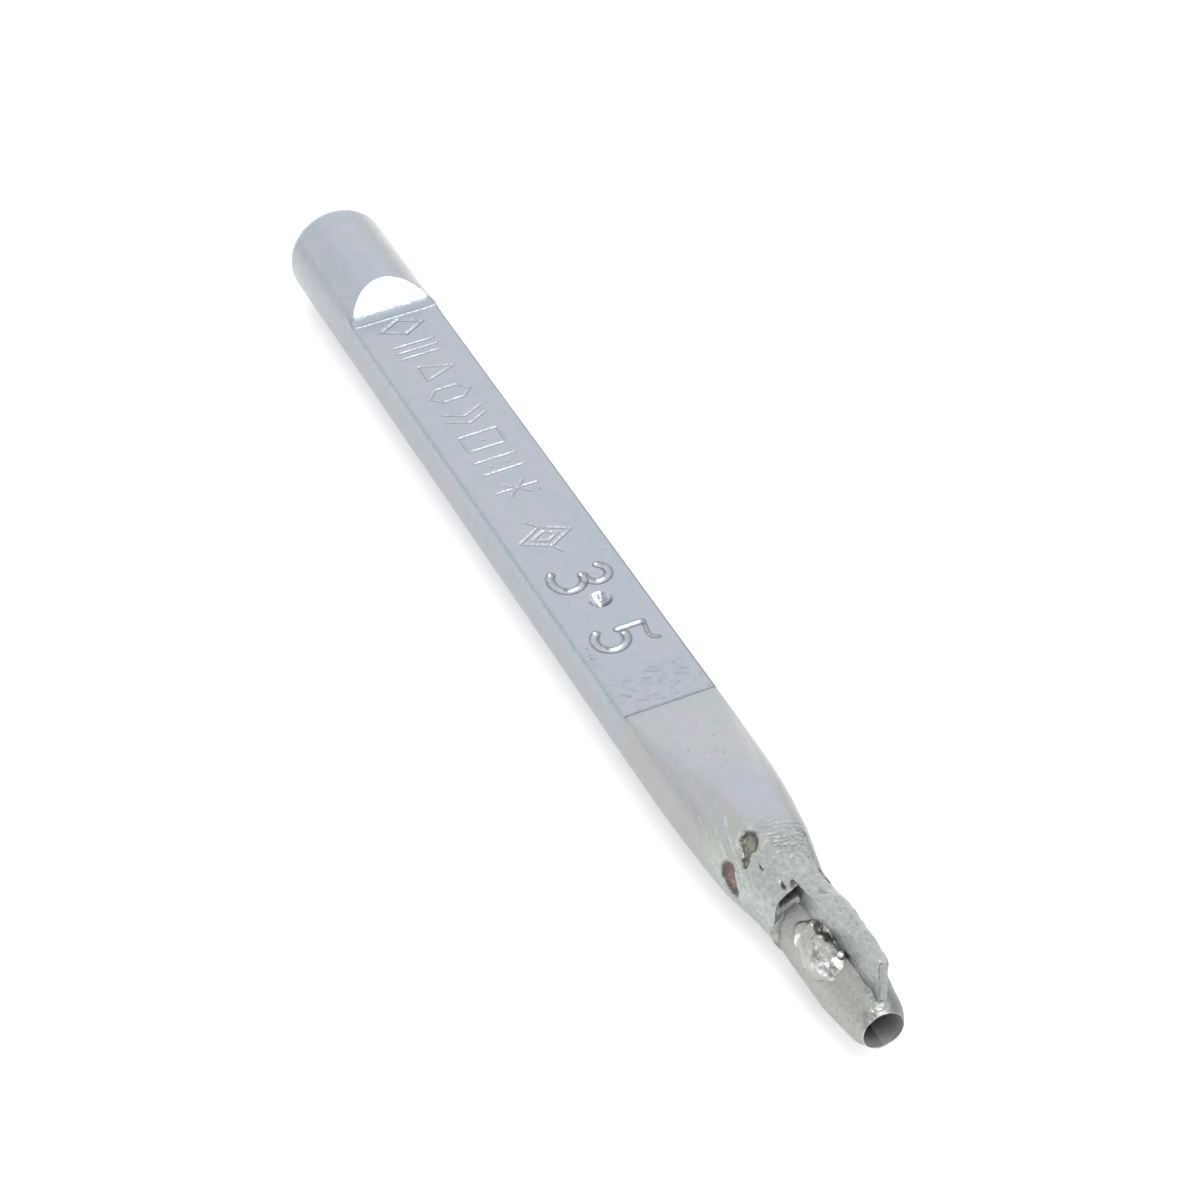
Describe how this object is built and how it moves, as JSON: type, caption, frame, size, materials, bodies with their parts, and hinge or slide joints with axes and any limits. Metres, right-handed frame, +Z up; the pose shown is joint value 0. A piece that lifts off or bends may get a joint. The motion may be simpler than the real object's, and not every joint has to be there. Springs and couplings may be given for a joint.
{
  "type": "drive hole punch",
  "caption": "Hammer-driven hole punch for leather: a round forged steel bar with a marking flat and a sharpened cutting tube welded under a thin web at its end.",
  "frame": {"origin": "on the surface the tool lies on, under the middle of its box", "axes": "+X along the bar towards the cutting mouth, +Z up out of the marking flat, +Y to the side the web leans to; the tool lies on its back"},
  "size_m": [0.12, 0.01, 0.01],
  "materials": {
    "zinc_plated_bar": "bright zinc plating, satin, faintly iridescent",
    "zinc_plated_tube": "zinc plating over rough ground steel, matt",
    "weld_metal": "as-welded steel under zinc plating, lumpy and bright"
  },
  "bodies": {
    "root": {"shank": "zinc_plated_bar", "cutting_tube": "zinc_plated_tube", "weld_bead_left": "weld_metal", "weld_bead_right": "weld_metal", "root_weld": "weld_metal", "weld_spatter": "weld_metal"}
  },
  "joints": []
}
